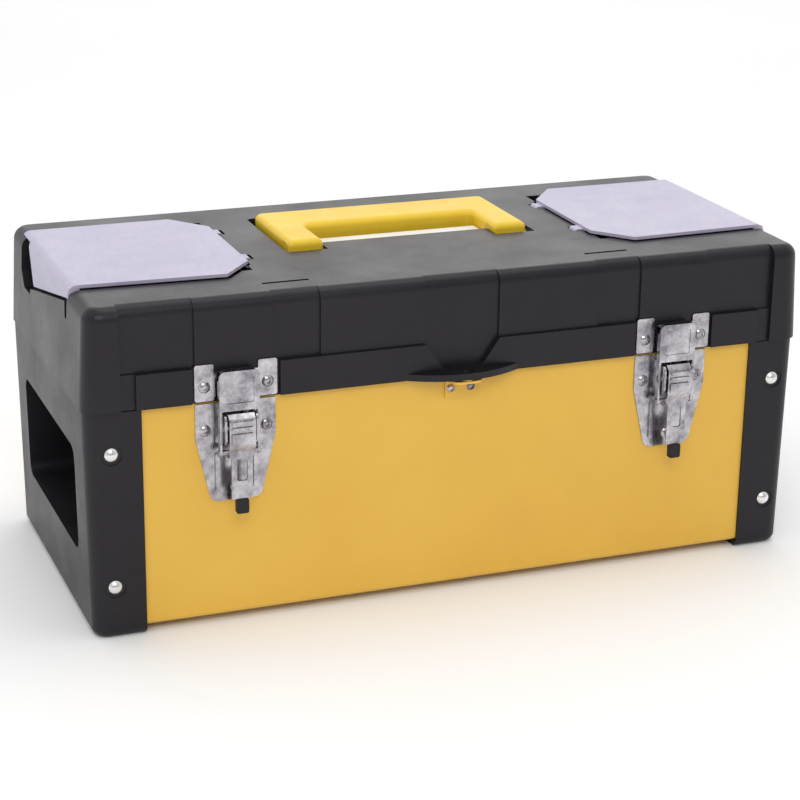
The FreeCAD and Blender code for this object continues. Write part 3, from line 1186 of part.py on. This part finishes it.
def make_tray_grip(holes):
    """Bar to lift the tray by, on two forked legs riveted through the spine."""
    body = new_body("tray_grip")
    bar = rectangle("-tray_grip_half_x", "tray_grip_low_z", "tray_grip_half_x", "tray_grip_top_z", "3")
    prism(body, "XZ_Plane", bar, "-tray_grip_half_y", "tray_grip_half_y")
    fillet(body, "2", lambda edge: abs(middle_of(edge).y) > value("tray_grip_half_y") - 1e-6)
    for x_low, x_high in mirrored("tray_leg_inner_x", "tray_leg_outer_x"):
        leg = rectangle(x_low, "tray_slot_low_z", x_high, "tray_grip_low_z + 2")
        prism(body, "XZ_Plane", leg, "-tray_leg_half_y", "tray_leg_half_y")
    fork = "(tray_wall/2 + slip_gap)"
    gap = rectangle(f"-{fork}", f"tray_slot_low_z - {CLEAR}", fork, "tray_top_z + slip_gap")
    prism(body, "YZ_Plane", gap, "-tray_leg_outer_x", "tray_leg_outer_x", cut=True)
    discs(body, "XZ_Plane", holes, "small_shank_r", "-tray_leg_half_y", "tray_leg_half_y", cut=True)
    seats = [(x, "-tray_leg_half_y", z) for x, z in holes]
    rivets("tray_grip_rivets", seats, -Y_AXIS, "2*tray_leg_half_y")


def check_and_write():
    """Stop on any failed object or bad solid, then write one file for each piece."""
    doc.recompute()
    for item in doc.Objects:
        if {"Invalid", "Error"} & set(item.State):
            raise RuntimeError(f"{item.Label} failed: {item.State}")
    for node in nodes:
        if node.Shape.isNull() or not node.Shape.isValid() or not node.Shape.Solids:
            raise RuntimeError(f"{node.Label} has no valid solid")
    os.makedirs("parts", exist_ok=True)
    for node in nodes:
        node.Shape.exportStep(f"parts/{node.Label}.step")
    print(f"{len(nodes)} pieces written")


make_body_panel()
make_padlock_eye()
make_lid()
make_handle()
make_well_strip()
make_tray()
for side_name, side_sign in SIDES:
    make_end_cap(side_name, side_sign)
    make_cap_rivets(side_name, side_sign)
    make_organizer_bin(side_name, side_sign)
    make_cover(side_name, side_sign)
    make_latch_base(side_name, side_sign)
    make_latch_lever(side_name, side_sign)
    make_finger_grip(side_name, side_sign)
    make_latch_link(side_name, side_sign)
    make_keeper(side_name, side_sign)
    make_hinge(side_name, side_sign)
check_and_write()
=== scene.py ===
import json
import math

import bpy
from mathutils import Matrix, Vector

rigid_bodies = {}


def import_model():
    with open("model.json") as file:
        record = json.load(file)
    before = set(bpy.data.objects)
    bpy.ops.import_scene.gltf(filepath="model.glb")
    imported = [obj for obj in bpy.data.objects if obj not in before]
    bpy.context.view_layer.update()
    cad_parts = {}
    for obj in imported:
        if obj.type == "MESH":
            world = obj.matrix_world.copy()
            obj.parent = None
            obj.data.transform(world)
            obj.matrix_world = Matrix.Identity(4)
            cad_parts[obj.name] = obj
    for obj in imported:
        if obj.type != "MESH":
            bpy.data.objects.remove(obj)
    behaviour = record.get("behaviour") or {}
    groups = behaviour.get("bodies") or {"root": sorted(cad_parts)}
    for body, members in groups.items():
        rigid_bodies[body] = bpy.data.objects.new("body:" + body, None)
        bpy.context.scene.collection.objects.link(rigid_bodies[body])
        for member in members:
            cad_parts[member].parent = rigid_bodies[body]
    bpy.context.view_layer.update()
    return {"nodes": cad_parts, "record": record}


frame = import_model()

nodes = frame["nodes"]


# ---------------------------------------------------------------- material tools

def set_range(node, low, high, to_low, to_high):
    for key, number in (("From Min", low), ("From Max", high), ("To Min", to_low), ("To Max", to_high)):
        node.inputs[key].default_value = number


class Maker:
    """Builds one node material around a Principled shader."""

    def __init__(self, name):
        self.material = bpy.data.materials.new(name)
        self.material.use_nodes = True
        self.tree = self.material.node_tree
        self.shader = self.tree.nodes["Principled BSDF"]
        self.place = self.add("ShaderNodeTexCoord").outputs["Object"]

    def add(self, kind, **settings):
        node = self.tree.nodes.new(kind)
        for key, value in settings.items():
            setattr(node, key, value)
        return node

    def link(self, source, target):
        self.tree.links.new(source, target)

    def constant(self, **sockets):
        for name, value in sockets.items():
            self.shader.inputs[name.replace("_", " ")].default_value = value

    def stretched(self, scale):
        mapping = self.add("ShaderNodeMapping")
        self.link(self.place, mapping.inputs["Vector"])
        mapping.inputs["Scale"].default_value = scale
        return mapping.outputs["Vector"]

    def noise(self, scale, detail=3.0, roughness=0.5, stretch=None, distortion=0.0):
        node = self.add("ShaderNodeTexNoise")
        self.link(self.stretched(stretch) if stretch else self.place, node.inputs["Vector"])
        node.inputs["Scale"].default_value = scale
        node.inputs["Detail"].default_value = detail
        node.inputs["Roughness"].default_value = roughness
        node.inputs["Distortion"].default_value = distortion
        return node.outputs["Fac"]

    def voronoi(self, scale):
        node = self.add("ShaderNodeTexVoronoi", feature="F1")
        self.link(self.place, node.inputs["Vector"])
        node.inputs["Scale"].default_value = scale
        return node.outputs["Distance"]

    def spread(self, value, low, high, to_low=0.0, to_high=1.0):
        """Maps low..high of a value to another range, clamped."""
        node = self.add("ShaderNodeMapRange", clamp=True)
        self.link(value, node.inputs["Value"])
        set_range(node, low, high, to_low, to_high)
        return node.outputs["Result"]

    def mix(self, factor, first, second):
        """Blends two colours; each is a socket or a tuple."""
        node = self.add("ShaderNodeMix", data_type="RGBA")
        self.link(factor, node.inputs["Factor"])
        for socket, colour in ((node.inputs[6], first), (node.inputs[7], second)):
            if isinstance(colour, tuple):
                socket.default_value = (*colour, 1.0)
            else:
                self.link(colour, socket)
        return node.outputs[2]

    def calculate(self, operation, first, second):
        node = self.add("ShaderNodeMath", operation=operation)
        for socket, value in zip(node.inputs, (first, second)):
            if isinstance(value, (int, float)):
                socket.default_value = value
            else:
                self.link(value, socket)
        return node.outputs[0]

    def bump(self, height, distance, strength=1.0, under=None):
        node = self.add("ShaderNodeBump")
        self.link(height, node.inputs["Height"])
        node.inputs["Distance"].default_value = distance
        node.inputs["Strength"].default_value = strength
        if under:
            self.link(under, node.inputs["Normal"])
        return node.outputs["Normal"]

    def finish(self, colour, roughness, normal=None):
        self.link(colour, self.shader.inputs["Base Color"])
        self.link(roughness, self.shader.inputs["Roughness"])
        if normal:
            self.link(normal, self.shader.inputs["Normal"])
        return self.material


# ---------------------------------------------------------------- materials

def paint(name, colour, deep, worn):
    """Satin enamel on steel: slight orange peel, faint cloudiness, rub marks and a few tiny chips."""
    make = Maker(name)
    make.constant(Metallic=0.0, Coat_Weight=0.15, Coat_Roughness=0.3, Specular_IOR_Level=0.4)
    clouds = make.spread(make.noise(11, 5, 0.6), 0.3, 0.75)
    tone = make.mix(clouds, colour, deep)
    rubs = make.spread(make.noise(38, 8, 0.72, stretch=(0.35, 1.0, 1.8)), 0.6, 0.8, 0.0, 0.22)
    tone = make.mix(rubs, tone, tuple(min(1.0, c * 1.12 + 0.02) for c in colour))
    chips = make.spread(make.voronoi(75), 0.035, 0.02)
    spots = make.calculate("MULTIPLY", chips, make.spread(make.noise(26, 3), 0.56, 0.64))
    tone = make.mix(spots, tone, worn)
    rough = make.spread(rubs, 0.0, 0.22, 0.34, 0.50)
    peel = make.bump(make.noise(620, 2, 0.5), 0.00006, 0.30)
    waves = make.bump(make.noise(9, 2), 0.0008, 0.15, peel)
    return make.finish(tone, rough, make.bump(make.calculate("SUBTRACT", 1.0, spots), 0.00008, 0.6, waves))


def grained_plastic(name, colour, pale, grain, rough_low, rough_high, depth, shine=0.3):
    """Moulded plastic with a fine leathered grain, dusty clouds and handling scratches."""
    make = Maker(name)
    make.constant(Specular_IOR_Level=shine, Specular_Tint=(1.0, 0.93, 0.98, 1.0))
    pits = make.calculate("ADD", make.spread(make.voronoi(grain), 0.1, 0.7), make.noise(grain * 0.8, 4, 0.6))
    clouds = make.spread(make.noise(22, 6, 0.65), 0.35, 0.72)
    tone = make.mix(clouds, colour, pale)
    scratches = make.spread(make.noise(45, 8, 0.75, stretch=(0.3, 1.4, 1.4)), 0.6, 0.78)
    tone = make.mix(make.calculate("MULTIPLY", scratches, 0.3), tone, tuple(c * 2.0 for c in pale))
    rough = make.calculate("ADD", make.spread(clouds, 0.0, 1.0, rough_low, rough_high),
                           make.spread(scratches, 0.0, 1.0, 0.0, 0.1))
    return make.finish(tone, rough, make.bump(pits, depth, 0.5))


def milky_plastic(name):
    """Frosted lavender-white sheet with a fine moulded texture and faint flow marks."""
    make = Maker(name)
    make.constant(Transmission_Weight=0.12, IOR=1.49, Specular_IOR_Level=0.35, Subsurface_Weight=0.2,
                  Subsurface_Scale=0.004)
    clouds = make.spread(make.noise(30, 6, 0.7), 0.3, 0.75)
    tone = make.mix(clouds, (0.47, 0.445, 0.59), (0.56, 0.53, 0.66))
    flow = make.spread(make.noise(14, 7, 0.7, stretch=(1.0, 0.25, 1.0), distortion=1.5), 0.5, 0.75, 0.0, 0.5)
    tone = make.mix(flow, tone, (0.63, 0.61, 0.70))
    ticks = make.noise(420, 3, 0.6, stretch=(1.0, 0.35, 1.0))
    rough = make.spread(ticks, 0.3, 0.7, 0.34, 0.50)
    return make.finish(tone, rough, make.bump(ticks, 0.00012, 0.4))


def plated_steel(name, colour, dull, brushed, rough_low, rough_high):
    """Plated steel with a drawn grain, dull patches, shallow dents and small pits."""
    make = Maker(name)
    make.constant(Metallic=1.0, Specular_IOR_Level=0.5)
    grain = make.noise(900, 4, 0.6, stretch=brushed)
    patches = make.spread(make.noise(90, 5, 0.7), 0.38, 0.66)
    tone = make.mix(patches, colour, dull)
    pits = make.spread(make.voronoi(260), 0.10, 0.05)
    pits = make.calculate("MULTIPLY", pits, make.spread(make.noise(70, 3), 0.55, 0.62))
    tone = make.mix(pits, tone, tuple(c * 0.55 for c in dull))
    rough = make.calculate("ADD", make.spread(grain, 0.3, 0.7, rough_low, rough_high),
                           make.spread(patches, 0.0, 1.0, 0.0, 0.08))
    dents = make.bump(make.noise(130, 2, 0.5), 0.0004, 0.35)
    ground = make.bump(grain, 0.00003, 0.4, dents)
    return make.finish(tone, rough, make.bump(make.calculate("SUBTRACT", 1.0, pits), 0.00005, 0.5, ground))


def smooth_plastic(name, colour, deep, rough):
    """Semi-gloss moulded plastic with soft clouding and fine scuffs."""
    make = Maker(name)
    make.constant(Specular_IOR_Level=0.4, Subsurface_Weight=0.06, Subsurface_Scale=0.003)
    clouds = make.spread(make.noise(25, 5, 0.6), 0.35, 0.7)
    tone = make.mix(clouds, colour, deep)
    scuffs = make.spread(make.noise(60, 8, 0.75, stretch=(0.4, 1.5, 1.0)), 0.6, 0.8, 0.0, 0.25)
    tone = make.mix(scuffs, tone, tuple(c * 0.8 for c in deep))
    gloss = make.spread(make.noise(70, 6, 0.7), 0.35, 0.7, rough, rough + 0.12)
    texture = make.bump(make.noise(900, 3, 0.6), 0.00005, 0.35)
    return make.finish(tone, make.calculate("ADD", gloss, scuffs), texture)


def make_materials():
    cap_tones = ((0.0085, 0.0085, 0.0105), (0.0135, 0.0130, 0.0150))
    inside_tones = ((0.022, 0.022, 0.025), (0.034, 0.034, 0.037))
    nickel_tones = ((0.58, 0.56, 0.59), (0.22, 0.205, 0.235))
    rivet_tones = ((0.86, 0.86, 0.86), (0.70, 0.70, 0.70))
    zinc_tones = ((0.62, 0.63, 0.65), (0.48, 0.49, 0.51))
    drawn_down, drawn_across, even = (1.0, 1.0, 0.08), (0.1, 1.0, 1.0), (1.0, 1.0, 1.0)
    return {
        "yellow_paint": paint("yellow_enamel", (0.78, 0.47, 0.060), (0.72, 0.415, 0.048), (0.30, 0.24, 0.16)),
        "black_cap": grained_plastic("cap_black", *cap_tones, 900, 0.34, 0.48, 0.0001),
        "black_lid": grained_plastic("lid_black", *cap_tones, 1000, 0.30, 0.42, 0.00008),
        "tray_plastic": grained_plastic("tray_black", *inside_tones, 800, 0.42, 0.56, 0.0001, 0.35),
        "yellow_plastic": smooth_plastic("handle_yellow", (0.84, 0.575, 0.032), (0.78, 0.505, 0.024), 0.36),
        "pale_strip": smooth_plastic("strip_pale", (0.88, 0.85, 0.80), (0.80, 0.76, 0.70), 0.35),
        "milky_cover": milky_plastic("cover_milky"),
        "nickel_steel": plated_steel("nickel", *nickel_tones, drawn_down, 0.12, 0.28),
        "bright_rivet": plated_steel("rivet_bright", *rivet_tones, even, 0.12, 0.25),
        "zinc_hinge": plated_steel("zinc", *zinc_tones, drawn_across, 0.26, 0.42),
    }


HANDLE_EDGE = 0.0006
SOFT_EDGE_ANGLE = math.radians(35)


def soften(piece, width):
    """Rounds the sharp edges that a CAD node's faces share, with its smooth faces left smooth."""
    bevel = piece.modifiers.new("soft_edges", "BEVEL")
    bevel.width = width
    bevel.segments = 2
    bevel.limit_method = "ANGLE"
    bevel.angle_limit = SOFT_EDGE_ANGLE
    bevel.use_clamp_overlap = True
    bevel.harden_normals = True


def dress_cad(materials):
    """Every CAD node takes the material of its slot, and the handle's edges are softened."""
    slot_of = {part["node"]: part["material_slot"] for part in frame["record"]["subparts"]}
    for name, piece in nodes.items():
        piece.data.materials.clear()
        piece.data.materials.append(materials[slot_of[name]])
    soften(nodes["lid_handle"], HANDLE_EDGE)


# ---------------------------------------------------------------- floor, light, camera

def add_floor():
    """Plain pale floor, a hair under the box's foot."""
    reach, drop = 6.0, 0.0002
    corners = [(-reach, -reach, 0), (reach, -reach, 0), (reach, reach, 0), (-reach, reach, 0)]
    mesh = bpy.data.meshes.new("floor")
    mesh.from_pydata(corners, [], [(0, 1, 2, 3)])
    floor = bpy.data.objects.new("floor", mesh)
    bpy.context.scene.collection.objects.link(floor)
    floor.location.z = -drop
    make = Maker("floor_pale")
    make.constant(Specular_IOR_Level=0.2)
    tone = make.mix(make.noise(3, 3), (0.93, 0.93, 0.93), (0.95, 0.95, 0.95))
    mesh.materials.append(make.finish(tone, make.spread(make.noise(8, 2), 0.3, 0.7, 0.75, 0.85)))


def add_world():
    """White surroundings, dimmer toward the front so that upright faces keep their depth."""
    front_strength, back_strength = 0.45, 0.95
    front_y, back_y = -0.95, -0.1
    world = bpy.data.worlds.new("studio")
    world.use_nodes = True
    tree = world.node_tree
    place = tree.nodes.new("ShaderNodeTexCoord")
    split = tree.nodes.new("ShaderNodeSeparateXYZ")
    fade = tree.nodes.new("ShaderNodeMapRange")
    tree.nodes["Background"].inputs["Color"].default_value = (1.0, 1.0, 1.0, 1.0)
    tree.links.new(place.outputs["Generated"], split.inputs["Vector"])
    tree.links.new(split.outputs["Y"], fade.inputs["Value"])
    tree.links.new(fade.outputs["Result"], tree.nodes["Background"].inputs["Strength"])
    set_range(fade, front_y, back_y, front_strength, back_strength)
    bpy.context.scene.world = world


def add_light(name, spot, target, size, energy):
    """Soft rectangular light at a spot, facing a target; sizes in metres, energy in watts."""
    data = bpy.data.lights.new(name, "AREA")
    data.shape = "RECTANGLE"
    data.size, data.size_y = size
    data.energy = energy
    lamp = bpy.data.objects.new(name, data)
    bpy.context.scene.collection.objects.link(lamp)
    lamp.location = spot
    lamp.rotation_euler = (Vector(target) - Vector(spot)).to_track_quat("-Z", "Y").to_euler()


def add_lights():
    middle = (0, 0, 0.1)
    add_light("key", (-0.5, -1.6, 1.5), middle, (1.2, 0.8), 13)
    add_light("top", (0.3, 0.2, 2.0), middle, (1.4, 1.0), 6)
    add_light("back", (0.9, 2.3, 1.05), (0, 0, 0.18), (2.2, 0.7), 4.5)


def add_camera():
    """Three-quarter view from the front left and above, with a slight roll."""
    azimuth, elevation, roll = math.radians(-21.191), math.radians(19.303), math.radians(0.807)
    distance, sensor_mm, lens_mm = 1.2487, 36.0, 97.6725
    framing_shift = -0.002125
    target = Vector((0.0011, 0.0, 0.07995))
    back = Vector((math.sin(azimuth) * math.cos(elevation), -math.cos(azimuth) * math.cos(elevation),
                   math.sin(elevation)))
    right = (-back).cross(Vector((0, 0, 1))).normalized()
    up = right.cross(-back)
    rolled_right = right * math.cos(roll) + up * math.sin(roll)
    rolled_up = up * math.cos(roll) - right * math.sin(roll)
    data = bpy.data.cameras.new("camera")
    data.sensor_width = sensor_mm
    data.lens = lens_mm
    data.clip_start, data.clip_end = 0.05, 50
    data.shift_x = framing_shift
    camera = bpy.data.objects.new("camera", data)
    bpy.context.scene.collection.objects.link(camera)
    turn = Matrix((rolled_right, rolled_up, back)).transposed()
    camera.matrix_world = Matrix.Translation(target + back * distance) @ turn.to_4x4()
    bpy.context.scene.camera = camera


for thing in [o for o in bpy.data.objects if o.type in {"LIGHT", "CAMERA"} or o.name == "Cube"]:
    bpy.data.objects.remove(thing)
bpy.context.scene.view_settings.view_transform = "Standard"
dress_cad(make_materials())
add_floor()
add_world()
add_lights()
add_camera()
